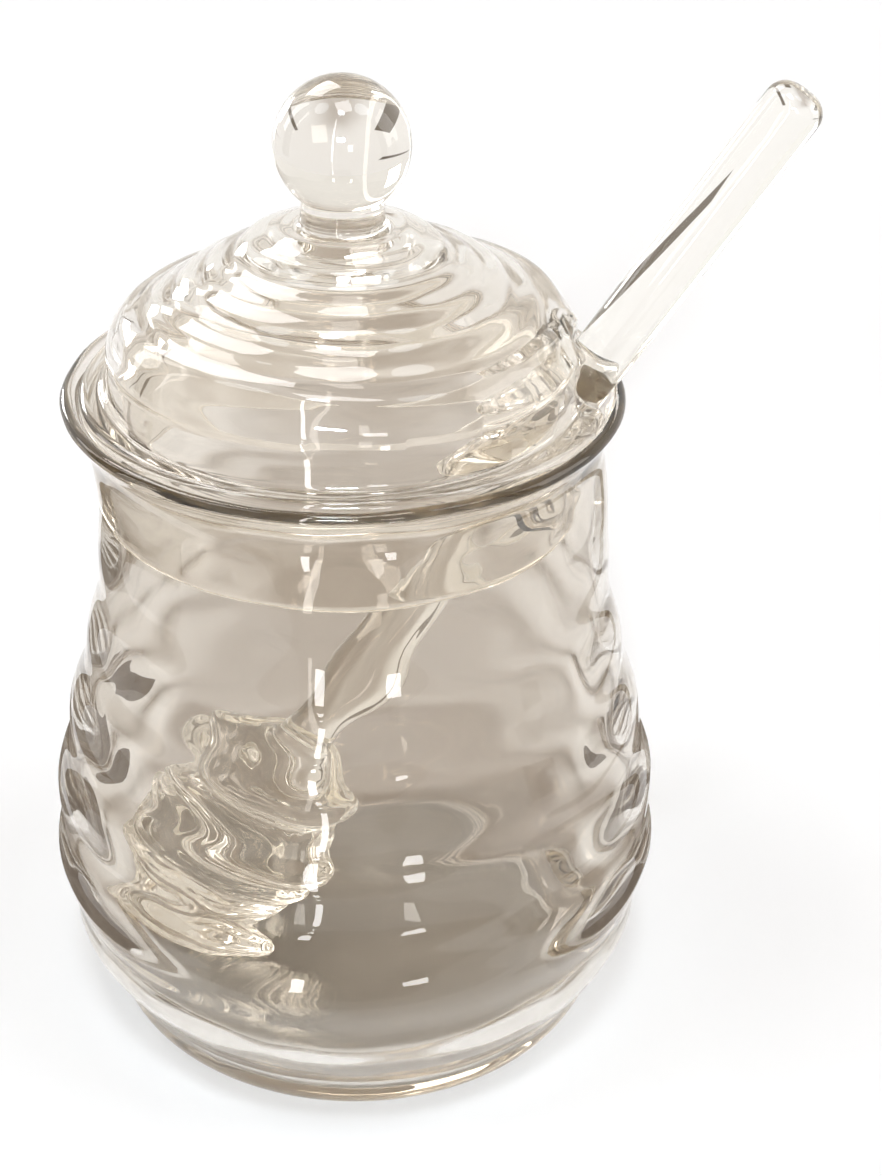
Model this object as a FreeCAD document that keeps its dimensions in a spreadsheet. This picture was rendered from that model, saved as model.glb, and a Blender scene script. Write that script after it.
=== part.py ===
import FreeCAD, Part
import math
import os

import Sketcher

V = FreeCAD.Vector

# Honey pot with lid and dipper, in clear blown glass. Millimetres, Z up.
# X = 0, Y = 0 is the axis of the pot and the lid, Z = 0 is the plane the pot stands on,
# and the dipper leans in the XZ plane over the rim on the +X side.

SIZES = [
    # pot
    ("foot_radius", 34.1, "mean radius of the body where it leaves the foot"),
    ("foot_rounding", 3.6, "how far the flat the pot stands on is inside that"),
    ("belly_radius", 43.7, "mean radius of the belly"),
    ("belly_height", 27.0, "height of the widest part"),
    ("lip_flare", 2.0, "from the outside of the neck out to the lip's middle"),
    ("neck_length", 15.4, "from where the belly has become the neck up to the lip"),
    ("ring_pitch", 11.8, "height of one beehive ring"),
    ("ring_start", 2.5, "height of the lowest ring's crest"),
    ("ring_depth", 0.42, "how far crests and hollows leave the mean body"),
    ("wall", 1.7, "thickness of the pot's wall"),
    ("floor_thickness", 2.5, "thickness of the pot's floor"),
    ("lip_radius", 36.3, "radius of the circle through the middle of the rounded lip"),
    ("lip_height", 95.9, "height of the middle of the rounded lip"),
    ("lip_bead", 0.9, "half thickness of the lip"),
    # lid
    ("collar_play", 0.8, "room between the collar and the inside of the neck"),
    ("collar_length", 15.4, "how far the collar goes below the middle of the lip"),
    ("lid_wall", 1.6, "thickness of the lid's wall"),
    ("seat_inset", 3.1, "from the lip's middle in to the lower edge of the lid's conical seat"),
    ("seat_drop", 2.6, "from the lip's middle down to that edge"),
    ("seat_width", 1.3, "width of the 45 degree seat, seen from above"),
    ("flange_rise", 1.4, "height of the flange's upper side over the lip's middle"),
    ("skirt_inset", 4.6, "from the lip's middle in to where the dome leaves the flange"),
    ("shoulder_inset", 3.4, "from there in to the dome's shoulder"),
    ("shoulder_rise", 11.1, "height of the dome's shoulder over the lip's middle"),
    ("dome_rise", 22.5, "height of the dome under the knob over the lip's middle"),
    ("dome_wave", 0.35, "how far the dome's rings leave its mean slope"),
    ("stalk_radius", 5.4, "radius of the short neck under the knob"),
    ("knob_radius", 8.75, "radius of the ball knob"),
    ("knob_rise", 33.4, "height of the ball's centre over the lip's middle"),
    # dipper
    ("rod_radius", 3.95, "radius of the dipper's rod"),
    ("dipper_length", 156.0, "length of the whole dipper"),
    ("dipper_lean", 32.7, "lean of the dipper from upright, in degrees"),
    ("head_length", 35.5, "length of the ringed head"),
    ("head_radius", 14.3, "radius of the head's widest rings"),
    ("head_groove", 2.6, "depth of the grooves between the rings"),
    ("end_radius", 7.6, "radius of the head's last ring"),
    ("end_rounding", 2.0, "rounding of the head's end"),
    ("tip_rounding", 2.6, "rounding of the rod's free end"),
    # how the pieces sit
    ("dent_clearance", 0.9, "room between the rod and the dent in the lid"),
    ("rest_gap", 0.03, "gap where the dipper only rests"),
]
HEAD_RINGS = 5  # rings on the dipper's head
BODY_RINGS = 7  # crests up the pot, the last one at the foot of the neck

doc = FreeCAD.newDocument("HoneyPot")
sheet = doc.addObject("Spreadsheet::Sheet", "Sizes")
for number, (alias, number_of_mm, note) in enumerate(SIZES, start=1):
    sheet.set("A%d" % number, alias)
    sheet.set("B%d" % number, str(number_of_mm))
    sheet.set("C%d" % number, note)
    sheet.setAlias("B%d" % number, alias)
doc.recompute()


# ---------------------------------------------------------------- sizes that follow the sheet
class Dim:
    """A size worked out from the sheet: its value now, and the expression that binds it."""

    def __init__(self, value, text):
        self.value = value
        self.text = text

    def __add__(self, other):
        other = dim(other)
        return Dim(self.value + other.value, "(%s + %s)" % (self.text, other.text))

    def __sub__(self, other):
        other = dim(other)
        return Dim(self.value - other.value, "(%s - %s)" % (self.text, other.text))

    def __mul__(self, other):
        other = dim(other)
        return Dim(self.value * other.value, "(%s * %s)" % (self.text, other.text))

    def __truediv__(self, other):
        other = dim(other)
        return Dim(self.value / other.value, "(%s / %s)" % (self.text, other.text))


def dim(number_or_dim):
    if isinstance(number_or_dim, Dim):
        return number_or_dim
    return Dim(float(number_or_dim), "%.6g" % number_or_dim)


def size(alias):
    return Dim(float(sheet.get(alias)), "Sizes." + alias)


def sin(degrees):
    return Dim(math.sin(math.radians(degrees.value)), "sin(%s * 1 deg)" % degrees.text)


def cos(degrees):
    return Dim(math.cos(math.radians(degrees.value)), "cos(%s * 1 deg)" % degrees.text)


def greater(first, second):
    """The greater of two sizes."""
    return Dim(max(first.value, second.value), "max(%s; %s)" % (first.text, second.text))


NECK_HEIGHT = size("lip_height") - size("neck_length")
NECK_RADIUS = size("lip_radius") - size("lip_flare")
COLLAR_RADIUS = NECK_RADIUS - size("wall") - size("collar_play")
COLLAR_BOTTOM = size("lip_height") - size("collar_length")
SEAT = (size("lip_radius") - size("seat_inset"), size("lip_height") - size("seat_drop"))
FLANGE_TOP = size("lip_height") + size("flange_rise")
SKIRT_RADIUS = size("lip_radius") - size("skirt_inset")
DOME_TOP = size("lip_height") + size("dome_rise")
KNOB_HEIGHT = size("lip_height") + size("knob_rise")


# ---------------------------------------------------------------- outlines
class Outline:
    """A closed outline in a sketch, drawn point by point from the sheet's sizes."""

    def __init__(self, sketch, across, up):
        self.sketch = sketch
        self.first = None
        self.last = None
        self.start = (dim(across), dim(up))
        self.at = self.start

    def bound(self, kind, geometry, point, size_of_it):
        """One measurement from the origin, bound to the sheet."""
        rule = Sketcher.Constraint(kind, -1, 1, geometry, point, size_of_it.value)
        index = self.sketch.addConstraint(rule)
        self.sketch.setExpression("Constraints[%d]" % index, size_of_it.text)

    def fix(self, geometry, point, across, up):
        self.bound("DistanceX", geometry, point, across)
        self.bound("DistanceY", geometry, point, up)

    def joined(self, geometry, head, tail, across, up):
        """Ties a new piece's head to the last one's tail and fixes its own tail."""
        if self.last is None:
            self.first = (geometry, head)
            self.fix(geometry, head, *self.start)
        else:
            self.sketch.addConstraint(Sketcher.Constraint("Coincident", *self.last, geometry, head))
        self.last = (geometry, tail)
        self.at = (across, up)

    def line(self, across, up):
        across, up = dim(across), dim(up)
        ends = V(self.at[0].value, self.at[1].value, 0), V(across.value, up.value, 0)
        geometry = self.sketch.addGeometry(Part.LineSegment(*ends), False)
        self.joined(geometry, 1, 2, across, up)
        self.fix(geometry, 2, across, up)

    def arc(self, centre_across, centre_up, radius, begin, end):
        """An arc from angle begin to angle end, in degrees, less than begin if it runs clockwise."""
        centre_across, centre_up, radius = dim(centre_across), dim(centre_up), dim(radius)
        low, high = sorted((begin, end))
        circle = Part.Circle(V(centre_across.value, centre_up.value, 0), V(0, 0, 1), radius.value)
        arc = Part.ArcOfCircle(circle, math.radians(low), math.radians(high))
        geometry = self.sketch.addGeometry(arc, False)
        head, tail = (1, 2) if begin < end else (2, 1)
        across = centre_across + radius * math.cos(math.radians(end))
        up = centre_up + radius * math.sin(math.radians(end))
        self.joined(geometry, head, tail, across, up)
        self.fix(geometry, 3, centre_across, centre_up)
        if abs(math.cos(math.radians(end))) > 0.5:
            self.bound("DistanceY", geometry, tail, up)
        else:
            self.bound("DistanceX", geometry, tail, across)

    def curve(self, poles):
        """A smooth curve from here, drawn towards the poles and ending on the last one."""
        poles = [self.at] + [(dim(across), dim(up)) for across, up in poles]
        shape = Part.BSplineCurve()
        shape.buildFromPoles([V(across.value, up.value, 0) for across, up in poles], False, 3)
        geometry = self.sketch.addGeometry(shape, False)
        for number, (across, up) in enumerate(poles):
            circle = Part.Circle(V(across.value, up.value, 0), V(0, 0, 1), 1)
            pole = self.sketch.addGeometry(circle, True)
            self.sketch.addConstraint(Sketcher.Constraint("Weight", pole, 1.0))
            control = "InternalAlignment:Sketcher::BSplineControlPoint"
            self.sketch.addConstraint(Sketcher.Constraint(control, pole, 3, geometry, number))
            if number:
                self.fix(pole, 3, across, up)
        self.joined(geometry, 1, 2, *poles[-1])

    def close(self):
        """A last straight line back to the start."""
        ends = [V(across.value, up.value, 0) for across, up in (self.at, self.start)]
        geometry = self.sketch.addGeometry(Part.LineSegment(*ends), False)
        self.sketch.addConstraint(Sketcher.Constraint("Coincident", *self.last, geometry, 1))
        self.sketch.addConstraint(Sketcher.Constraint("Coincident", geometry, 2, *self.first))


def upright_sketch(name, body=None):
    """A sketch in the XZ plane: across is X, up is Z."""
    sketch = doc.addObject("Sketcher::SketchObject", name)
    if body is not None:
        body.addObject(sketch)
        plane = [item for item in body.Origin.OriginFeatures if item.Role == "XZ_Plane"][0]
        sketch.AttachmentSupport = [(plane, "")]
        sketch.MapMode = "FlatFace"
    else:
        sketch.Placement = FreeCAD.Placement(V(0, 0, 0), FreeCAD.Rotation(V(1, 0, 0), 90))
    return sketch


def revolved(body, sketch):
    """The body's solid, turned from a sketch about the sketch's own upright axis."""
    feature = doc.addObject("PartDesign::Revolution", body.Name + "Turned")
    body.addObject(feature)
    feature.Profile = sketch
    feature.ReferenceAxis = (sketch, ["V_Axis"])
    feature.Angle = 360
    body.Tip = feature


def turned(sketch, name):
    """A solid turned from a sketch about the Z axis."""
    solid = doc.addObject("Part::Revolution", name)
    solid.Source = sketch
    solid.Axis = V(0, 0, 1)
    solid.Base = V(0, 0, 0)
    solid.Angle = 360
    solid.Solid = True
    return solid


# ---------------------------------------------------------------- the pot
def body_radius(height):
    """Mean outer radius of the body: a quarter wave up to the belly, a half wave on to the neck."""
    if height.value <= size("belly_height").value:
        share = height / size("belly_height")
        return size("foot_radius") + (size("belly_radius") - size("foot_radius")) * sin(share * 90)
    share = (height - size("belly_height")) / (NECK_HEIGHT - size("belly_height"))
    slope = cos(share * 90)
    return NECK_RADIUS + (size("belly_radius") - NECK_RADIUS) * slope * slope


def ring_poles(inward, depth):
    """Poles of the ringed wall from the lowest crest up to the neck, moved inward."""
    poles = []
    for step in range(2 * BODY_RINGS - 1):
        height = size("ring_start") + size("ring_pitch") * (step / 2)
        fade = 1.15 - 0.05 * step
        swing = size("ring_depth") * (3 * depth * fade * (1 if step % 2 == 0 else -1))
        poles.append((body_radius(height) - inward + swing, height))
    return poles


def make_pot():
    body = doc.addObject("PartDesign::Body", "Pot")
    body.Label = "pot"
    sketch = upright_sketch("PotWall", body)
    wall, floor = size("wall"), size("floor_thickness")
    foot_flat = size("foot_radius") - size("foot_rounding")
    lip, top, bead = size("lip_radius"), size("lip_height"), size("lip_bead")
    neck, straight = NECK_RADIUS, NECK_HEIGHT + 7
    slope = math.cos(math.radians(45))

    outline = Outline(sketch, 0, 0)
    outline.line(foot_flat, 0)
    crests = ring_poles(dim(0), 1)
    outline.curve([(size("foot_radius") - 0.6, 0)] + crests + [(neck, NECK_HEIGHT), (neck, straight)])
    outline.curve([(neck, straight + 2.4), (neck + 0.2, top - 3.4), (lip + bead * slope, top - bead * slope)])
    outline.arc(lip, top, bead, -45, 135)
    inner = neck - wall
    outline.curve([(inner + 0.9, top - 3.2), (inner, straight + 3.0), (inner, straight + 0.5)])
    hollows = ring_poles(wall, 0.8)
    down = [(inner, NECK_HEIGHT)] + hollows[:0:-1]
    outline.curve(down + [(size("foot_radius") - wall, floor + 0.8), (foot_flat - 2, floor), (foot_flat - 7, floor)])
    outline.line(0, floor)
    outline.close()
    revolved(body, sketch)
    return body


# ---------------------------------------------------------------- the lid
def dome_poles(thinner):
    """Poles of the dome from the skirt up to the stalk, moved inward by a share of the wall."""
    wall = size("lid_wall") * thinner
    skirt, shoulder = SKIRT_RADIUS, SKIRT_RADIUS - size("shoulder_inset")
    low, high = FLANGE_TOP, DOME_TOP
    middle, wave = size("lip_height") + size("shoulder_rise"), size("dome_wave") * 3
    stalk = size("stalk_radius")
    poles = [
        (skirt - 0.7 - wall, low + (middle - low) * 0.35),
        (skirt - 1.1 - wall, low + (middle - low) * 0.65),
        (shoulder + wave - wall, middle + 0.4 - wall * 0.3),
    ]
    for number, (share, lean) in enumerate([(0.22, 0.75), (0.42, 0.85), (0.6, 0.88), (0.78, 0.92)]):
        swing = wave * (-1 if number % 2 == 0 else 1)
        across = shoulder + (stalk - shoulder) * share
        up = middle + (high - middle) * (1.2 * share)
        poles.append((across - wall * (1 - lean), up + swing * 0.6 - wall * lean))
    return poles


def make_lid():
    wall, collar, bottom = size("lid_wall"), COLLAR_RADIUS, COLLAR_BOTTOM
    (seat, low), width = SEAT, size("seat_width")
    skirt, top, stalk = SKIRT_RADIUS, FLANGE_TOP, size("stalk_radius")
    high = DOME_TOP

    shell = upright_sketch("LidOutside")
    outline = Outline(shell, 0, bottom)
    outline.line(collar - wall / 2, bottom)
    outline.arc(collar - wall / 2, bottom + wall / 2, wall / 2, -90, 0)
    outline.line(collar, low - 2.2)
    outline.line(seat, low)
    outline.line(seat + width, low + width)
    outline.curve([(seat + width + 0.7, low + width + 0.8), (seat + width + 0.5, top + 0.1),
                   (seat + width - 0.9, top)])
    outline.line(skirt + 1.0, top)
    outline.curve([(skirt + 0.3, top), (skirt, top + 0.7)] + dome_poles(0)
                  + [(stalk + 1.6, high - 0.1), (stalk, high + 0.4), (stalk, high + 2.2)])
    outline.line(stalk, KNOB_HEIGHT)
    outline.line(0, KNOB_HEIGHT)
    outline.close()
    outside = turned(shell, "LidTurned")

    hollow = upright_sketch("LidHollow")
    outline = Outline(hollow, 0, bottom - 1)
    outline.line(collar - wall, bottom - 1)
    outline.line(collar - wall, low - 0.8)
    outline.curve([(collar - wall, low + 1.5), (skirt - wall - 0.3, top - 1.0)] + dome_poles(1)
                  + [(stalk * 0.7, high - wall - 0.2), (stalk * 0.2, high - wall - 0.2)])
    outline.line(0, high - wall - 0.2)
    outline.close()
    inside = turned(hollow, "LidInside")

    channel = dent("LidDent", size("dent_clearance"))
    kept = dent("LidDentWall", size("dent_clearance") + wall)

    ball = doc.addObject("Part::Sphere", "LidBall")
    ball.setExpression("Radius", size("knob_radius").text)
    ball.setExpression("Placement.Base.z", KNOB_HEIGHT.text)

    knobbed = doc.addObject("Part::Fuse", "LidKnobbed")
    knobbed.Base, knobbed.Tool = outside, ball
    room = doc.addObject("Part::Cut", "LidRoom")
    room.Base, room.Tool = inside, kept
    hollowed = doc.addObject("Part::Cut", "LidHollowed")
    hollowed.Base, hollowed.Tool = knobbed, room
    lid = doc.addObject("Part::Cut", "Lid")
    lid.Base, lid.Tool = hollowed, channel
    lid.Label = "lid"
    return lid


# ---------------------------------------------------------------- where the dipper leans
def rest_distance():
    """From the rod's axis to the middle of the lip that it rests on."""
    return size("rod_radius") + size("lip_bead") + size("rest_gap")


def rest_point():
    """The rod's axis beside the lip: (X, Z)."""
    lean = size("dipper_lean")
    return (size("lip_radius") - rest_distance() * cos(lean),
            size("lip_height") + rest_distance() * sin(lean))


def head_point():
    """The middle of the dipper's lower end, which touches the floor: (X, Z)."""
    lean = size("dipper_lean")
    rest_x, rest_z = rest_point()
    edge = size("end_rounding")
    rounded_end = edge - edge * cos(lean) + (size("end_radius") - edge) * sin(lean)
    first_ring = ring_radius(0.5 / HEAD_RINGS) * sin(lean) - size("head_length") * cos(lean) * (0.5 / HEAD_RINGS)
    z = size("floor_thickness") + size("rest_gap") + greater(rounded_end, first_ring)
    return rest_x - (rest_z - z) * sin(lean) / cos(lean), z


def lean_it(thing, across, up):
    """Turns a thing's own Z axis to the dipper's lean and moves its origin to (X, Z)."""
    thing.Placement = FreeCAD.Placement(V(0, 0, 0), FreeCAD.Rotation(V(0, 1, 0), size("dipper_lean").value))
    thing.setExpression("Placement.Rotation.Angle", size("dipper_lean").text + " * 1 deg")
    thing.setExpression("Placement.Base.x", across.text)
    thing.setExpression("Placement.Base.z", up.text)


def dent(name, grown):
    """The room that the rod needs through the lid: round about its axis and open outwards."""
    radius = size("rod_radius") + grown
    reach, depth = size("lip_radius"), COLLAR_RADIUS
    round_part = doc.addObject("Part::Cylinder", name + "Round")
    round_part.setExpression("Radius", radius.text)
    round_part.setExpression("Height", (reach * 2).text)
    open_part = doc.addObject("Part::Box", name + "Open")
    open_part.setExpression("Length", reach.text)
    open_part.setExpression("Width", (radius * 2).text)
    open_part.setExpression("Height", (reach * 2).text)
    lean, (across, up) = size("dipper_lean"), rest_point()
    lean_it(round_part, across - depth * sin(lean), up - depth * cos(lean))
    lean_it(open_part, across - depth * sin(lean), up - depth * cos(lean))
    open_part.setExpression("Placement.Base.y", "-" + radius.text)
    both = doc.addObject("Part::Fuse", name)
    both.Base, both.Tool = round_part, open_part
    return both


# ---------------------------------------------------------------- the dipper
def ring_radius(share):
    """Radius of the head at a share of its length, from its lower end."""
    swell = sin(dim(20 + 135 * share))
    return size("end_radius") + (size("head_radius") - size("end_radius")) * swell


def make_dipper():
    body = doc.addObject("PartDesign::Body", "Dipper")
    body.Label = "dipper"
    sketch = upright_sketch("DipperOutline", body)
    edge, end, groove = size("end_rounding"), size("end_radius"), size("head_groove")
    rod, length, head = size("rod_radius"), size("dipper_length"), size("head_length")
    pitch = head / HEAD_RINGS

    outline = Outline(sketch, 0, 0)
    outline.line(end - edge, 0)
    outline.arc(end - edge, edge, edge, -90, 0)
    poles = []
    for ring in range(HEAD_RINGS):
        crest = ring_radius((ring + 0.5) / HEAD_RINGS)
        if ring:
            poles.append((crest, pitch * (ring + 0.22)))
        poles.append((crest + 0.9, pitch * (ring + 0.5)))
        poles.append((crest, pitch * (ring + 0.8)))
        if ring < HEAD_RINGS - 1:
            poles.append((crest - groove * 1.6, pitch * (ring + 1)))
    poles += [(rod + 1.6, head + 0.6), (rod, head + 1.2), (rod, head + 4)]
    outline.curve(poles)
    tip = size("tip_rounding")
    outline.line(rod, length - tip)
    outline.arc(rod - tip, length - tip, tip, 0, 90)
    outline.line(0, length)
    outline.close()
    revolved(body, sketch)
    lean_it(body, *head_point())
    return body


pieces = [make_pot(), make_lid(), make_dipper()]
doc.recompute()

# ---------------------------------------------------------------- checks and STEP files
for item in doc.Objects:
    if "Invalid" in item.State or "Error" in item.State:
        raise RuntimeError("%s didn't build: %s" % (item.Name, item.State))
os.makedirs("parts", exist_ok=True)
for piece in pieces:
    shape = piece.Shape
    if shape.isNull() or not shape.isValid() or len(shape.Solids) != 1:
        raise RuntimeError("%s isn't one valid solid" % piece.Label)
    shape.exportStep("parts/%s.step" % piece.Label)
    box = shape.BoundBox
    print("%s %.1f cm3 X %.1f %.1f Y %.1f %.1f Z %.1f %.1f" % (
        piece.Label, shape.Volume / 1000, box.XMin, box.XMax, box.YMin, box.YMax, box.ZMin, box.ZMax))
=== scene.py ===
import math

import bpy
from mathutils import Matrix, Vector


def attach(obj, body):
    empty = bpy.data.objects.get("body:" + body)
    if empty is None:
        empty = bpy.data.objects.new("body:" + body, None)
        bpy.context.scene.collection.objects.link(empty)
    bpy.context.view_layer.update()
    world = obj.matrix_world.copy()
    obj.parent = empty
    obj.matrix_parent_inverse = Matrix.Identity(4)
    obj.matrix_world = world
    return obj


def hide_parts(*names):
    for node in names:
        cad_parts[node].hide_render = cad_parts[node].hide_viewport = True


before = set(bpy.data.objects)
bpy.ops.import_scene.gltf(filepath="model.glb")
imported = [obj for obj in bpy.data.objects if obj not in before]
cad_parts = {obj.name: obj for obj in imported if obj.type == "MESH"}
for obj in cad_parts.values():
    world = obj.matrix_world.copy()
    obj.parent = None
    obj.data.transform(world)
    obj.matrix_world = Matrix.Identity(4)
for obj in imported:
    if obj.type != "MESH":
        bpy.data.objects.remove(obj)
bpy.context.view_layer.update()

# A clear blown-glass honey pot: ringed pot, domed lid with a ball knob and a dent for the
# dipper, and a solid glass dipper. Lengths are in metres, in the frame's own axes.
MM = 0.001

# ------------------------------------------------------------------ pot
WALL = 1.7 * MM
FLOOR = 2.5 * MM
FOOT_RADIUS = 34.1 * MM
FOOT_FLAT = 30.5 * MM
BELLY_RADIUS = 43.7 * MM
BELLY_HEIGHT = 27.0 * MM
NECK_RADIUS = 34.3 * MM
NECK_HEIGHT = 80.5 * MM
NECK_STRAIGHT = 7.0 * MM
BODY_RINGS = 7
RING_PITCH = 11.8 * MM
RING_START = 2.5 * MM
RING_DEPTH = 0.42 * MM
INNER_RINGS = 0.3
FOOT_RING_EXTRA = 0.2
LIP_RADIUS = 36.3 * MM
LIP_HEIGHT = 95.9 * MM
LIP_BEAD = 0.9 * MM

# ------------------------------------------------------------------ lid
LID_WALL = 1.6 * MM
COLLAR_RADIUS = 31.8 * MM
COLLAR_BOTTOM = 80.5 * MM
SEAT_RADIUS = 33.2 * MM
SEAT_HEIGHT = 93.3 * MM
SEAT_WIDTH = 1.3 * MM
FLANGE_TOP = 97.3 * MM
SKIRT_RADIUS = 31.7 * MM
SHOULDER_RADIUS = 28.3 * MM
SHOULDER_HEIGHT = 107.0 * MM
DOME_TOP = 118.4 * MM
OUTER_WAVE = 1.26 * MM
INNER_WAVE = 0.28 * MM
STALK_RADIUS = 5.4 * MM
KNOB_RADIUS = 8.75 * MM
KNOB_HEIGHT = 129.3 * MM

# ------------------------------------------------------------------ dipper
ROD_RADIUS = 3.95 * MM
DIPPER_LENGTH = 156.0 * MM
LEAN = math.radians(32.7)
HEAD_LENGTH = 35.5 * MM
HEAD_RADIUS = 14.3 * MM
HEAD_RINGS = 5
HEAD_GROOVE = 2.6 * MM
END_RADIUS = 7.6 * MM
END_ROUNDING = 2.0 * MM
TIP_ROUNDING = 2.6 * MM
REST_GAP = 0.03 * MM

# where the dipper leans: its axis beside the lip, and the middle of its lower end
REST = ROD_RADIUS + LIP_BEAD + REST_GAP
REST_X = LIP_RADIUS - REST * math.cos(LEAN)
REST_Z = LIP_HEIGHT + REST * math.sin(LEAN)
HEAD_Z = (FLOOR + REST_GAP + END_ROUNDING * (1 - math.cos(LEAN))
          + (END_RADIUS - END_ROUNDING) * math.sin(LEAN))
HEAD_X = REST_X - (REST_Z - HEAD_Z) * math.tan(LEAN)

# ------------------------------------------------------------------ marks of the hand
# the dent that lets the rod pass, and how softly it runs into the lid
DENT_CLEARANCE = 0.9 * MM
DENT_DEEP = 24 * MM
DENT_SIDE = 0.9
DENT_BLEND = 2.4 * MM

# the reach of each unevenness, with the length of its waves
POT_SWAY = 1.3 * MM
RING_TILT, RING_TILT_WAVE = 3.0 * MM, 45 * MM
DOME_TILT, DOME_TILT_WAVE = 2.4 * MM, 26 * MM
RIPPLE_DEPTH, RIPPLE_PITCH = 0.4 * MM, 4.5 * MM
CRUMPLE, CRUMPLE_WAVE = 2.0 * MM, 2.8 * MM
CRUMPLE_RADIUS = 9.5 * MM
POT_BLOWN, LID_BLOWN, BLOWN_WAVE = 0.25 * MM, 0.3 * MM, 9 * MM
HEAD_UNEVEN, HEAD_UNEVEN_WAVE = 0.5 * MM, 8 * MM
HEAD_CHASED, HEAD_CHASED_WAVE = 0.3 * MM, 2.6 * MM
TURNING_DEPTH, TURNING_PITCH = 0.45 * MM, 2.1 * MM


# ------------------------------------------------------------------ outlines
def curve(poles, pieces):
    """Points of a smooth clamped curve drawn towards the poles, without its first point."""
    last = len(poles) - 3
    knots = [0] * 3 + list(range(last + 1)) + [last] * 3
    points = []
    for step in range(1, pieces + 1):
        at = last * step / pieces
        span = min(int(at), last - 1) + 3
        local = [Vector(poles[span - 3 + i]) for i in range(4)]
        for level in range(1, 4):
            for i in range(3, level - 1, -1):
                low = knots[span - 3 + i]
                high = knots[span + 1 + i - level]
                local[i] = local[i - 1].lerp(local[i], (at - low) / (high - low))
        points.append(tuple(local[3]))
    return points


def arc(across, up, radius, begin, end, pieces=8):
    """Points round a centre from angle begin to angle end, in degrees."""
    points = []
    for step in range(pieces + 1):
        angle = math.radians(begin + (end - begin) * step / pieces)
        points.append((across + radius * math.cos(angle), up + radius * math.sin(angle)))
    return points


def upright(across, low, high, pieces):
    """Points straight up from low to high, without the first one."""
    return [(across, low + (high - low) * step / pieces) for step in range(1, pieces + 1)]


def body_radius(height):
    """The pot's plain outline between its rings' crests and hollows."""
    if height <= BELLY_HEIGHT:
        share = height / BELLY_HEIGHT
        return FOOT_RADIUS + (BELLY_RADIUS - FOOT_RADIUS) * math.sin(math.pi / 2 * share)
    share = (height - BELLY_HEIGHT) / (NECK_HEIGHT - BELLY_HEIGHT)
    return NECK_RADIUS + (BELLY_RADIUS - NECK_RADIUS) * math.cos(math.pi / 2 * share) ** 2


def ring_poles(inward, depth):
    """A pole for each crest and hollow of the rings, deeper near the foot."""
    poles = []
    for step in range(2 * BODY_RINGS - 1):
        height = RING_START + RING_PITCH * step / 2
        fade = 1.15 - 0.05 * step + (FOOT_RING_EXTRA if step < 4 else 0.0)
        swing = RING_DEPTH * 3 * depth * fade * (1 if step % 2 == 0 else -1)
        poles.append((body_radius(height) - inward + swing, height))
    return poles


def pot_outline():
    """Under the foot, up the outside, over the lip, down the inside and over the floor."""
    straight = NECK_HEIGHT + NECK_STRAIGHT
    slope = math.cos(math.radians(45))
    inner = NECK_RADIUS - WALL
    points = [(0, 0), (FOOT_FLAT * 0.5, 0), (FOOT_FLAT * 0.8, 0), (FOOT_FLAT, 0)]
    points += curve([points[-1], (FOOT_RADIUS - 0.6 * MM, 0)] + ring_poles(0, 1)
                    + [(NECK_RADIUS, NECK_HEIGHT), (NECK_RADIUS, straight)], 90)
    points += curve([points[-1], (NECK_RADIUS, straight + 2.4 * MM),
                     (NECK_RADIUS + 0.2 * MM, LIP_HEIGHT - 3.4 * MM),
                     (LIP_RADIUS + LIP_BEAD * slope, LIP_HEIGHT - LIP_BEAD * slope)], 14)
    points += arc(LIP_RADIUS, LIP_HEIGHT, LIP_BEAD, -45, 135, 12)[1:]
    points += curve([points[-1], (inner + 0.9 * MM, LIP_HEIGHT - 3.2 * MM),
                     (inner, straight + 3.0 * MM), (inner, straight + 0.5 * MM)], 14)
    hollows = ring_poles(WALL, INNER_RINGS)
    points += curve([points[-1], (inner, NECK_HEIGHT)] + hollows[:0:-1]
                    + [(FOOT_RADIUS - WALL, FLOOR + 0.8 * MM), (FOOT_FLAT - 2 * MM, FLOOR),
                       (FOOT_FLAT - 7 * MM, FLOOR)], 90)
    points += [(FOOT_FLAT * 0.5, FLOOR), (FOOT_FLAT * 0.25, FLOOR), (0, FLOOR)]
    return points


def dome_poles(wall, wave):
    """The dome's poles from the skirt to the stalk, moved inwards by the wall."""
    rise = SHOULDER_HEIGHT - FLANGE_TOP
    poles = [
        (SKIRT_RADIUS - 0.7 * MM - wall, FLANGE_TOP + rise * 0.35),
        (SKIRT_RADIUS - 1.1 * MM - wall, FLANGE_TOP + rise * 0.65),
        (SHOULDER_RADIUS + wave - wall, SHOULDER_HEIGHT + 0.4 * MM - wall * 0.3),
    ]
    for number, (share, lean) in enumerate([(0.22, 0.75), (0.42, 0.85), (0.6, 0.88), (0.78, 0.92)]):
        swing = wave * (-1 if number % 2 == 0 else 1)
        across = SHOULDER_RADIUS + (STALK_RADIUS - SHOULDER_RADIUS) * share
        up = SHOULDER_HEIGHT + (DOME_TOP - SHOULDER_HEIGHT) * 1.2 * share
        poles.append((across - wall * (1 - lean), up + swing * 0.6 - wall * lean))
    return poles


def lid_inside():
    """From the collar's lower edge up the inside to the axis."""
    inner = COLLAR_RADIUS - LID_WALL
    low = COLLAR_BOTTOM + LID_WALL / 2
    top = DOME_TOP - LID_WALL - 0.2 * MM
    points = [(inner, low)] + upright(inner, low, SEAT_HEIGHT - 0.8 * MM, 11)
    points += curve([points[-1], (inner, SEAT_HEIGHT + 1.5 * MM),
                     (SKIRT_RADIUS - LID_WALL - 0.3 * MM, FLANGE_TOP - 1.0 * MM)]
                    + dome_poles(LID_WALL, INNER_WAVE)
                    + [(STALK_RADIUS * 0.7, top), (STALK_RADIUS * 0.2, top)], 60)
    return points + [(0, top)]


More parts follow.
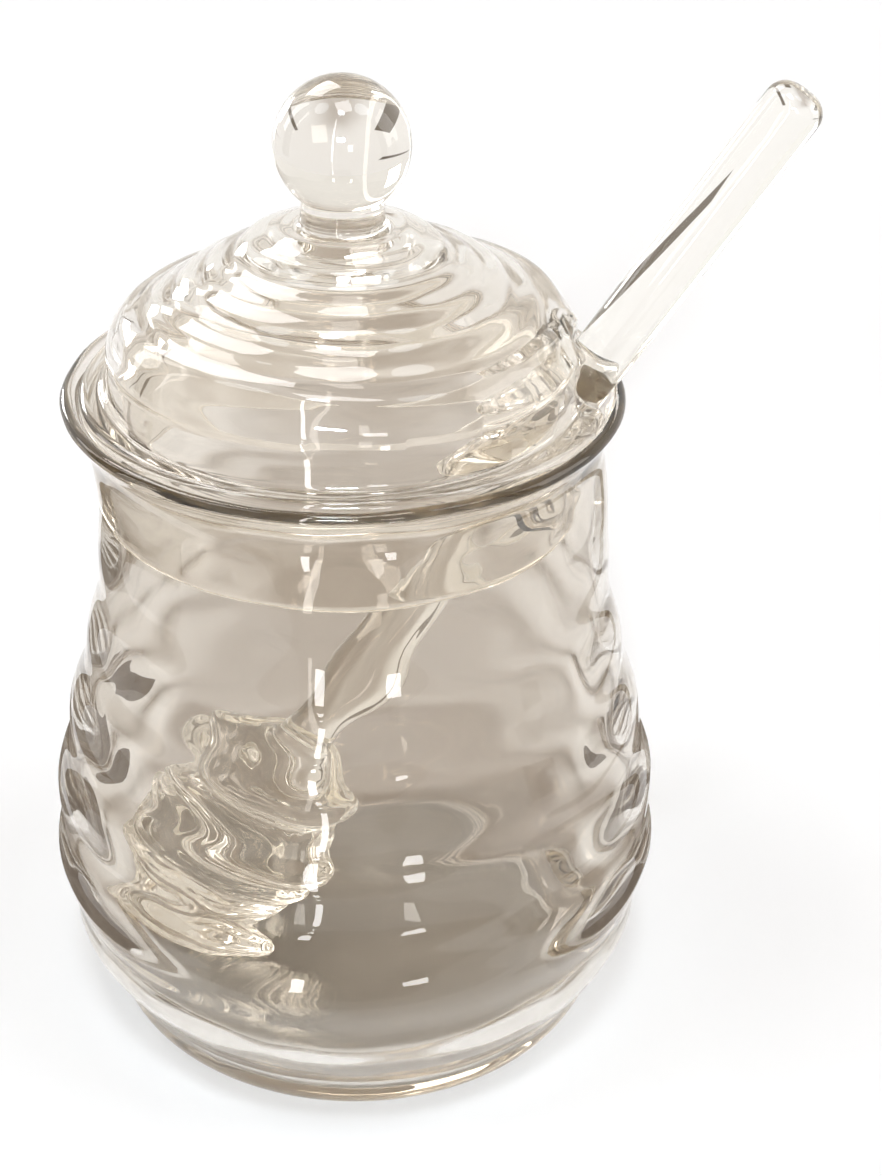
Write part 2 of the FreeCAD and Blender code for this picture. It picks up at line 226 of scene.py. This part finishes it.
def lid_outside():
    """From the collar's lower edge over the seat, the flange and the dome to the knob's top."""
    half = LID_WALL / 2
    low = COLLAR_BOTTOM + half
    seat_top = SEAT_HEIGHT + SEAT_WIDTH
    edge = SEAT_RADIUS + SEAT_WIDTH
    points = arc(COLLAR_RADIUS - half, low, half, -90, 0, 6)
    points += upright(COLLAR_RADIUS, low, SEAT_HEIGHT - 2.2 * MM, 12)
    points += [((COLLAR_RADIUS + SEAT_RADIUS) / 2, SEAT_HEIGHT - 1.1 * MM),
               (SEAT_RADIUS, SEAT_HEIGHT),
               (SEAT_RADIUS + SEAT_WIDTH / 2, SEAT_HEIGHT + SEAT_WIDTH / 2),
               (edge, seat_top)]
    points += curve([points[-1], (edge + 0.7 * MM, seat_top + 0.8 * MM),
                     (edge + 0.5 * MM, FLANGE_TOP + 0.1 * MM), (edge - 0.9 * MM, FLANGE_TOP)], 8)
    points.append((SKIRT_RADIUS + 1.0 * MM, FLANGE_TOP))
    points += curve([points[-1], (SKIRT_RADIUS + 0.3 * MM, FLANGE_TOP),
                     (SKIRT_RADIUS, FLANGE_TOP + 0.7 * MM)]
                    + dome_poles(0, OUTER_WAVE)
                    + [(STALK_RADIUS + 1.6 * MM, DOME_TOP - 0.1 * MM),
                       (STALK_RADIUS, DOME_TOP + 0.4 * MM), (STALK_RADIUS, DOME_TOP + 2.2 * MM)], 60)
    meet = -math.degrees(math.acos(STALK_RADIUS / KNOB_RADIUS))
    return points + arc(0, KNOB_HEIGHT, KNOB_RADIUS, meet, 90, 40)


def lid_outline():
    """From the axis inside the dome, down round the collar's edge and up the outside."""
    half = LID_WALL / 2
    edge = arc(COLLAR_RADIUS - half, COLLAR_BOTTOM + half, half, 180, 270, 6)
    return lid_inside()[::-1] + edge[1:-1] + lid_outside()


def ring_radius(share):
    """The head's crest at a share of its length."""
    return END_RADIUS + (HEAD_RADIUS - END_RADIUS) * math.sin(math.radians(20 + 135 * share))


def dipper_outline():
    """From the axis at the lower end over the head's rings and up the rod."""
    pitch = HEAD_LENGTH / HEAD_RINGS
    points = [(0, 0), (END_RADIUS * 0.35, 0)]
    points += arc(END_RADIUS - END_ROUNDING, END_ROUNDING, END_ROUNDING, -90, 0, 6)
    poles = [points[-1]]
    for ring in range(HEAD_RINGS):
        crest = ring_radius((ring + 0.5) / HEAD_RINGS)
        if ring:
            poles.append((crest, pitch * (ring + 0.22)))
        poles.append((crest + 0.9 * MM, pitch * (ring + 0.5)))
        poles.append((crest, pitch * (ring + 0.8)))
        if ring < HEAD_RINGS - 1:
            poles.append((crest - HEAD_GROOVE * 1.6, pitch * (ring + 1)))
    poles += [(ROD_RADIUS + 1.6 * MM, HEAD_LENGTH + 0.6 * MM),
              (ROD_RADIUS, HEAD_LENGTH + 1.2 * MM), (ROD_RADIUS, HEAD_LENGTH + 4 * MM)]
    points += curve(poles, 170)
    points += upright(ROD_RADIUS, points[-1][1], DIPPER_LENGTH - TIP_ROUNDING, 24)
    points += arc(ROD_RADIUS - TIP_ROUNDING, DIPPER_LENGTH - TIP_ROUNDING, TIP_ROUNDING, 0, 90)[1:]
    points.append((0, DIPPER_LENGTH))
    return points


# ------------------------------------------------------------------ modelling
def deselect_all():
    if bpy.context.object and bpy.context.object.mode != "OBJECT":
        bpy.ops.object.mode_set(mode="OBJECT")
    bpy.ops.object.select_all(action="DESELECT")


def spun(name, outline, parts, origin=(0, 0, 0), lean=0.0):
    """A glass piece turned from its outline (distance from the axis, height along it).

    parts lists the turns, each as (degrees, steps). Of several, the first is centred on +X.
    """
    deselect_all()
    axis = Vector((math.sin(lean), 0, math.cos(lean)))
    start = math.radians(-parts[0][0] / 2 if len(parts) > 1 else 0)
    side = Vector((math.cos(lean), 0, -math.sin(lean))) * math.cos(start)
    side += Vector((0, 1, 0)) * math.sin(start)
    origin = Vector(origin)
    places = [origin + side * across + axis * up for across, up in outline]
    bpy.ops.mesh.primitive_plane_add(size=MM, location=(0, 0, 0))
    piece = bpy.context.object
    piece.name = piece.data.name = name
    bpy.ops.object.mode_set(mode="EDIT")
    bpy.ops.mesh.select_mode(type="VERT")
    bpy.ops.mesh.select_all(action="SELECT")
    bpy.ops.mesh.merge(type="CENTER")
    bpy.ops.transform.translate(value=places[0])
    for begin, end in zip(places, places[1:]):
        bpy.ops.mesh.extrude_region_move(TRANSFORM_OT_translate={"value": end - begin})
    bpy.ops.mesh.select_all(action="SELECT")
    for degrees, steps in parts:
        bpy.ops.mesh.spin(steps=steps, angle=math.radians(degrees), center=origin, axis=axis)
    bpy.ops.mesh.select_all(action="SELECT")
    bpy.ops.mesh.remove_doubles(threshold=0.004 * MM)
    bpy.ops.mesh.normals_make_consistent(inside=False)
    bpy.ops.object.mode_set(mode="OBJECT")
    bpy.ops.object.shade_smooth()
    return piece


def pushed(piece, name, direction, reach, share, wave=None):
    """Move each vertex along a direction by its own share of reach, evenly or in soft waves."""
    push = piece.modifiers.new(name, "DISPLACE")
    push.direction = direction
    push.mid_level = 0
    push.strength = reach
    group = piece.vertex_groups.new(name=name)
    push.vertex_group = name
    for vertex in piece.data.vertices:
        weight = share(vertex.co, vertex.normal)
        if weight > 0:
            group.add([vertex.index], min(weight, 1.0), "REPLACE")
    if wave:
        clouds = bpy.data.textures.new(piece.name + "_" + name, "CLOUDS")
        clouds.noise_scale = wave
        clouds.noise_depth = 0
        push.texture = clouds
        push.mid_level = 0.5
    deselect_all()
    bpy.context.view_layer.objects.active = piece
    bpy.ops.object.modifier_apply(modifier=name)


def between(value, none, full):
    """0 up to none, 1 past full, and evenly from one to the other."""
    return max(0.0, min(1.0, (value - none) / (full - none)))


def rings_along(length, pitch):
    """0 to 1 and back over each pitch."""
    return 0.5 - 0.5 * math.cos(2 * math.pi * length / pitch)


# ------------------------------------------------------------------ pot
def body_share(place, _):
    """Full on the body, nothing at the lip."""
    fall = between(place.z, 94 * MM, 80 * MM)
    return fall * fall * (3 - 2 * fall)


def ring_share(place, _):
    """Full over the rings, nothing at the foot and at the neck."""
    return between(place.z, 0, 12 * MM) * between(place.z, 86 * MM, 72 * MM)


def wall_share(place, _):
    """Nothing on the flat foot, where the pot stands, and full on the wall."""
    return between(place.z, 0.3 * MM, 5.3 * MM)


pot = spun("pot_glass", pot_outline(), [(360, 176)])
pushed(pot, "body", "X", POT_SWAY, body_share)
pushed(pot, "ring_tilt", "Z", RING_TILT, ring_share, RING_TILT_WAVE)
pushed(pot, "blown", "NORMAL", POT_BLOWN, wall_share, BLOWN_WAVE)


# ------------------------------------------------------------------ lid
def reach_at(height, outline):
    """The radius of an outline at a height, or 0 where it has none."""
    best = 0.0
    for (r1, z1), (r2, z2) in zip(outline, outline[1:]):
        if min(z1, z2) <= height <= max(z1, z2) and abs(z2 - z1) > 1e-9:
            best = max(best, r1 + (r2 - r1) * (height - z1) / (z2 - z1))
    return best


def soft_least(first, second, blend):
    """The lesser of two lengths, with a rounded change from one to the other."""
    share = max(0.0, min(1.0, 0.5 + 0.5 * (second - first) / blend))
    return second * (1 - share) + first * share - blend * share * (1 - share)


def rod_centre(height):
    """Where the rod's axis is, along X."""
    return REST_X + (height - REST_Z) * math.tan(LEAN)


LID_POINTS = lid_outline()
LID_TURN = min(range(len(LID_POINTS)), key=lambda i: (LID_POINTS[i][1], -LID_POINTS[i][0]))
INSIDE_POINTS, OUTSIDE_POINTS = LID_POINTS[:LID_TURN + 1], LID_POINTS[LID_TURN:]


def dent_share(place, _):
    """How far the rod's dent moves this point of the lid's wall inwards."""
    if place.x < 5 * MM or abs(place.y) > 16 * MM or place.z > 112 * MM:
        return 0.0
    outer, inner = reach_at(place.z, OUTSIDE_POINTS), reach_at(place.z, INSIDE_POINTS)
    if outer <= 0:
        return 0.0
    depth = outer - math.hypot(place.x, place.y)
    wall = LID_WALL * between(depth, 0, max(outer - inner, 0.2 * MM)) if inner > 0 else 0.0
    radius = ROD_RADIUS + DENT_CLEARANCE + wall
    bed = rod_centre(place.z) - radius / math.cos(LEAN) * (1 - DENT_SIDE * (place.y / radius) ** 2)
    return (place.x - soft_least(place.x, bed, DENT_BLEND)) / DENT_DEEP


def dome_share(place, _):
    """Full over the dome, nothing at the flange and at the stalk."""
    return between(place.z, 98 * MM, 104 * MM) * between(place.z, 118 * MM, 112 * MM)


def ripple_share(place, normal):
    """Fine rings in the outside of the dome."""
    away = math.hypot(place.x, place.y)
    facing = normal.z + (normal.x * place.x + normal.y * place.y) / max(away, MM)
    if facing < 0.2 or not 102.5 * MM <= place.z <= 119 * MM or away > 31.5 * MM:
        return 0.0
    return rings_along(math.hypot(away - STALK_RADIUS, DOME_TOP - place.z), RIPPLE_PITCH)


def crumple_share(place, _):
    """Full in the dent's bed, nothing away from it."""
    if place.x <= 8 * MM or place.z >= 112 * MM:
        return 0.0
    near = math.hypot((place.x - rod_centre(place.z)) * math.cos(LEAN), place.y)
    return between(place.z, 82 * MM, 86 * MM) * between(near, CRUMPLE_RADIUS, CRUMPLE_RADIUS * 0.6)


def lid_blown_share(place, _):
    """Nothing at the seat and the flange, where the lid meets the pot, and on the knob."""
    seat_middle = 95 * MM
    return between(place.z, 121 * MM, 118 * MM) * between(abs(place.z - seat_middle), 3 * MM, 5 * MM)


lid = spun("lid_glass", LID_POINTS, [(50, 150), (310, 150)])
pushed(lid, "dent", "X", -DENT_DEEP, dent_share)
pushed(lid, "dome_tilt", "Z", DOME_TILT, dome_share, DOME_TILT_WAVE)
pushed(lid, "ripples", "NORMAL", RIPPLE_DEPTH, ripple_share)
pushed(lid, "crumpled", "NORMAL", CRUMPLE, crumple_share, CRUMPLE_WAVE)
pushed(lid, "blown", "NORMAL", LID_BLOWN, lid_blown_share, BLOWN_WAVE)


# ------------------------------------------------------------------ dipper
def along_dipper(place):
    """How far up the dipper's axis a place is."""
    return (place.x - HEAD_X) * math.sin(LEAN) + (place.z - HEAD_Z) * math.cos(LEAN)


def head_share(place, _):
    """Full on the ringed head, nothing where it meets the floor and on the rod."""
    off_floor = between(place.z, FLOOR + 0.4 * MM, FLOOR + 2.4 * MM)
    return off_floor * between(along_dipper(place), HEAD_LENGTH + 3 * MM, HEAD_LENGTH - 2 * MM)


def turning_share(place, normal):
    """Fine lines round the head, left from shaping it."""
    return head_share(place, normal) * rings_along(along_dipper(place), TURNING_PITCH)


dipper = spun("dipper_glass", dipper_outline(), [(360, 128)], (HEAD_X, 0, HEAD_Z), LEAN)
pushed(dipper, "uneven", "NORMAL", HEAD_UNEVEN, head_share, HEAD_UNEVEN_WAVE)
pushed(dipper, "chased", "NORMAL", HEAD_CHASED, head_share, HEAD_CHASED_WAVE)
pushed(dipper, "turning_lines", "NORMAL", TURNING_DEPTH, turning_share)


# ------------------------------------------------------------------ glass
GLASS_IOR = 1.47
SOAKED_LIGHT = (0.36, 0.25, 0.06, 1)


def glass(name, tint, soaking):
    """Clear blown glass: a faint tint, a faintly wavering surface, and warmer where it is thick."""
    material = bpy.data.materials.new(name)
    material.use_nodes = True
    nodes, links = material.node_tree.nodes, material.node_tree.links
    nodes.clear()
    out = nodes.new("ShaderNodeOutputMaterial")
    clear = nodes.new("ShaderNodeBsdfPrincipled")
    clear.inputs["Base Color"].default_value = tint
    clear.inputs["Roughness"].default_value = 0.0
    clear.inputs["IOR"].default_value = GLASS_IOR
    clear.inputs["Transmission Weight"].default_value = 1.0
    links.new(clear.outputs["BSDF"], out.inputs["Surface"])
    place = nodes.new("ShaderNodeTexCoord")
    streaks = nodes.new("ShaderNodeTexNoise")
    streaks.inputs["Scale"].default_value = 140.0
    streaks.inputs["Detail"].default_value = 1.0
    waver = nodes.new("ShaderNodeBump")
    waver.inputs["Strength"].default_value = 0.35
    waver.inputs["Distance"].default_value = 0.04 * MM
    links.new(place.outputs["Object"], streaks.inputs["Vector"])
    links.new(streaks.outputs[0], waver.inputs["Height"])
    links.new(waver.outputs["Normal"], clear.inputs["Normal"])
    soak = nodes.new("ShaderNodeVolumeAbsorption")
    soak.inputs["Color"].default_value = SOAKED_LIGHT
    soak.inputs["Density"].default_value = soaking
    links.new(soak.outputs[0], out.inputs["Volume"])
    return material


for piece, node, slot, tint, soaking in (
        (pot, "pot", "pot_glass", (0.905, 0.875, 0.83, 1), 15.0),
        (lid, "lid", "lid_glass", (0.93, 0.905, 0.865, 1), 9.0),
        (dipper, "dipper", "dipper_glass", (0.975, 0.96, 0.92, 1), 4.0)):
    piece.data.materials.clear()
    piece.data.materials.append(glass("clear_" + node, tint, soaking))
    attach(piece, "root")
    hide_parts(node)


# ------------------------------------------------------------------ camera
def look(place, pitch, roll, focal):
    """A camera facing +Y from place, pitched down and rolled, in degrees."""
    data = bpy.data.cameras.new("camera")
    data.lens = focal
    data.clip_start = 10 * MM
    camera = bpy.data.objects.new("camera", data)
    bpy.context.scene.collection.objects.link(camera)
    down, turn = math.radians(pitch), math.radians(roll)
    forward = Vector((0, math.cos(down), -math.sin(down)))
    right, up = Vector((1, 0, 0)), Vector((0, math.sin(down), math.cos(down)))
    across = right * math.cos(turn) + up * math.sin(turn)
    over = up * math.cos(turn) - right * math.sin(turn)
    turned = Matrix((across, over, -forward)).transposed().to_4x4()
    camera.matrix_world = Matrix.Translation(place) @ turned
    bpy.context.scene.camera = camera


look((13.3 * MM, -256.2 * MM, 218.5 * MM), pitch=30.9, roll=1.03, focal=65.29)


# ------------------------------------------------------------------ studio
def studio_world():
    """White round the horizon and darker overhead where it shows; a dim warm fill as light."""
    world = bpy.data.worlds.new("studio")
    bpy.context.scene.world = world
    world.use_nodes = True
    nodes, links = world.node_tree.nodes, world.node_tree.links
    nodes.clear()
    out = nodes.new("ShaderNodeOutputWorld")
    shown = nodes.new("ShaderNodeBackground")
    fill = nodes.new("ShaderNodeBackground")
    fill.inputs["Color"].default_value = (0.27, 0.185, 0.115, 1)
    fill.inputs["Strength"].default_value = 1.0
    where = nodes.new("ShaderNodeTexCoord")
    split = nodes.new("ShaderNodeSeparateXYZ")
    ramp = nodes.new("ShaderNodeValToRGB")
    ramp.color_ramp.elements[0].position = 0.42
    ramp.color_ramp.elements[0].color = (1.0, 0.99, 0.965, 1)
    ramp.color_ramp.elements[1].position = 0.75
    ramp.color_ramp.elements[1].color = (0.6, 0.53, 0.46, 1)
    links.new(where.outputs["Generated"], split.inputs[0])
    links.new(split.outputs["Z"], ramp.inputs["Fac"])
    links.new(ramp.outputs["Color"], shown.inputs["Color"])
    path = nodes.new("ShaderNodeLightPath")

    def joined(operation, first, second):
        node = nodes.new("ShaderNodeMath")
        node.operation = operation
        links.new(first, node.inputs[0])
        if isinstance(second, float):
            node.inputs[1].default_value = second
        else:
            links.new(second, node.inputs[1])
        return node.outputs[0]

    mirrored = joined("MAXIMUM", path.outputs["Is Camera Ray"], path.outputs["Is Glossy Ray"])
    seen = joined("MAXIMUM", mirrored, path.outputs["Is Transmission Ray"])
    straight = joined("LESS_THAN", path.outputs["Diffuse Depth"], 0.5)
    mix = nodes.new("ShaderNodeMixShader")
    links.new(joined("MULTIPLY", seen, straight), mix.inputs["Fac"])
    links.new(fill.outputs[0], mix.inputs[1])
    links.new(shown.outputs[0], mix.inputs[2])
    links.new(mix.outputs[0], out.inputs["Surface"])


def matt(name, color):
    """A matt studio colour."""
    material = bpy.data.materials.new(name)
    material.use_nodes = True
    plain = material.node_tree.nodes["Principled BSDF"]
    plain.inputs["Base Color"].default_value = color
    plain.inputs["Roughness"].default_value = 0.9
    return material


def floor():
    deselect_all()
    bpy.ops.mesh.primitive_plane_add(size=6, location=(0, 0, -0.02 * MM))
    plane = bpy.context.object
    plane.name = "floor"
    plane.data.materials.append(matt("floor", (0.98, 0.98, 0.98, 1)))


def from_above(around, above):
    """The direction of a lamp: degrees round from the front, and degrees over the horizon."""
    turn, rise = math.radians(around), math.radians(above)
    return Vector((math.sin(turn) * math.cos(rise), -math.cos(turn) * math.cos(rise), math.sin(rise)))


def share_of_white(share, above):
    """The strength at which a sun gives this share of a level white floor's light."""
    return share * math.pi / math.sin(math.radians(above))


def sun(name, around, above, share, softness):
    """A soft sun that doesn't show through the glass."""
    data = bpy.data.lights.new(name, "SUN")
    data.energy = share_of_white(share, above)
    data.color = (0.93, 1.02, 1.1)
    data.angle = math.radians(softness)
    light = bpy.data.objects.new(name, data)
    bpy.context.scene.collection.objects.link(light)
    place = from_above(around, above)
    light.location = place
    light.rotation_euler = (-place).to_track_quat("-Z", "Y").to_euler()
    light.visible_transmission = False


def card(name, place, turned, size, color):
    """A dark card that only the glass shows, for the dark strokes at its edges."""
    deselect_all()
    bpy.ops.mesh.primitive_plane_add(size=1, location=place, rotation=turned)
    piece = bpy.context.object
    piece.name = name
    piece.scale = (size[0], size[1], 1)
    piece.data.materials.append(matt(name, color))
    piece.visible_camera = False
    piece.visible_diffuse = False
    piece.visible_shadow = False


def upright_card(name, around, away, wide, tall):
    turn = math.radians(around)
    card(name, (away * math.sin(turn), -away * math.cos(turn), tall / 2),
         (math.radians(90), 0, turn), (wide, tall), (0.1, 0.075, 0.055, 1))


def floor_card(name, middle, size, color):
    card(name, (middle[0], middle[1], 0.4 * MM), (0, 0, 0), size, color)


def softbox(name, around, above, away, wide, tall, glow, aim=(0, 0, 60 * MM), lying=False):
    """A plain lit panel that shows only in the glass, facing its aim or lying on the floor."""
    aim = Vector(aim)
    place = aim + away * from_above(around, above)
    data = bpy.data.lights.new(name, "AREA")
    data.shape = "RECTANGLE"
    data.size, data.size_y = wide, tall
    data.energy = glow * math.pi * wide * tall
    light = bpy.data.objects.new(name, data)
    bpy.context.scene.collection.objects.link(light)
    light.location = place
    light.rotation_euler = (aim - place).to_track_quat("-Z", "Y").to_euler()
    if lying:
        light.rotation_euler = (math.pi, 0, math.radians(around))
    light.visible_camera = False
    light.visible_diffuse = False


studio_world()
floor()
sun("front_left", -3, 26, 0.215, 7)
sun("front_right", 5, 26, 0.215, 7)
sun("top", 0, 70, 0.18, 10)
sun("left", -80, 62, 0.1, 20)
sun("right", 80, 62, 0.1, 20)

upright_card("left_card", -100, 0.45, 0.14, 0.7)
upright_card("right_card", 74, 0.5, 0.11, 0.7)
floor_card("far_card", (-0.78, 0.65), (0.96, 0.10), (0.1, 0.075, 0.055, 1))
floor_card("left_floor_card", (-0.135, 0.10), (0.07, 0.30), (0.15, 0.12, 0.09, 1))
floor_card("right_floor_card", (0.125, 0.10), (0.016, 0.30), (0.15, 0.12, 0.09, 1))
floor_card("left_near_card", (-0.067, 0.01), (0.03, 0.13), (0.13, 0.1, 0.075, 1))
floor_card("right_near_card", (0.069, 0.01), (0.026, 0.13), (0.13, 0.1, 0.075, 1))
floor_card("front_floor_card", (0, -0.19), (0.16, 0.24), (0.2, 0.16, 0.12, 1))

ON_FLOOR = (0, 0, 1 * MM)
softbox("strip", -13, 0, 0.65, 0.03, 1.2, 16, (0, 0, 0.62))
softbox("window", 17, 18, 0.7, 0.10, 0.12, 12)
for number, away in enumerate((0.15, 0.26, 0.40)):
    softbox("floor_strip_%d" % number, -13, 0, away, 0.009, 0.055, 16, ON_FLOOR, lying=True)
softbox("floor_window", 19, 0, 0.145, 0.013, 0.04, 14, ON_FLOOR, lying=True)
softbox("left_panel", -105, 30, 0.7, 0.35, 0.5, 3.0)
softbox("rear_panel", -150, 52, 0.6, 0.26, 0.26, 8.0)
softbox("over_panel", 20, 82, 0.7, 0.22, 0.22, 9.0)
softbox("low_panel", -140, 14, 0.5, 0.12, 0.12, 12.0)
softbox("right_panel", 95, 25, 0.7, 0.35, 0.5, 2.2)

# light crosses up to eight glass surfaces here and runs on inside the walls
scene = bpy.context.scene
scene.view_settings.view_transform = "Standard"
scene.cycles.sample_clamp_indirect = 6.0
scene.cycles.max_bounces = 48
scene.cycles.transmission_bounces = 48
scene.cycles.diffuse_bounces = 2
scene.cycles.glossy_bounces = 36
scene.cycles.transparent_max_bounces = 24
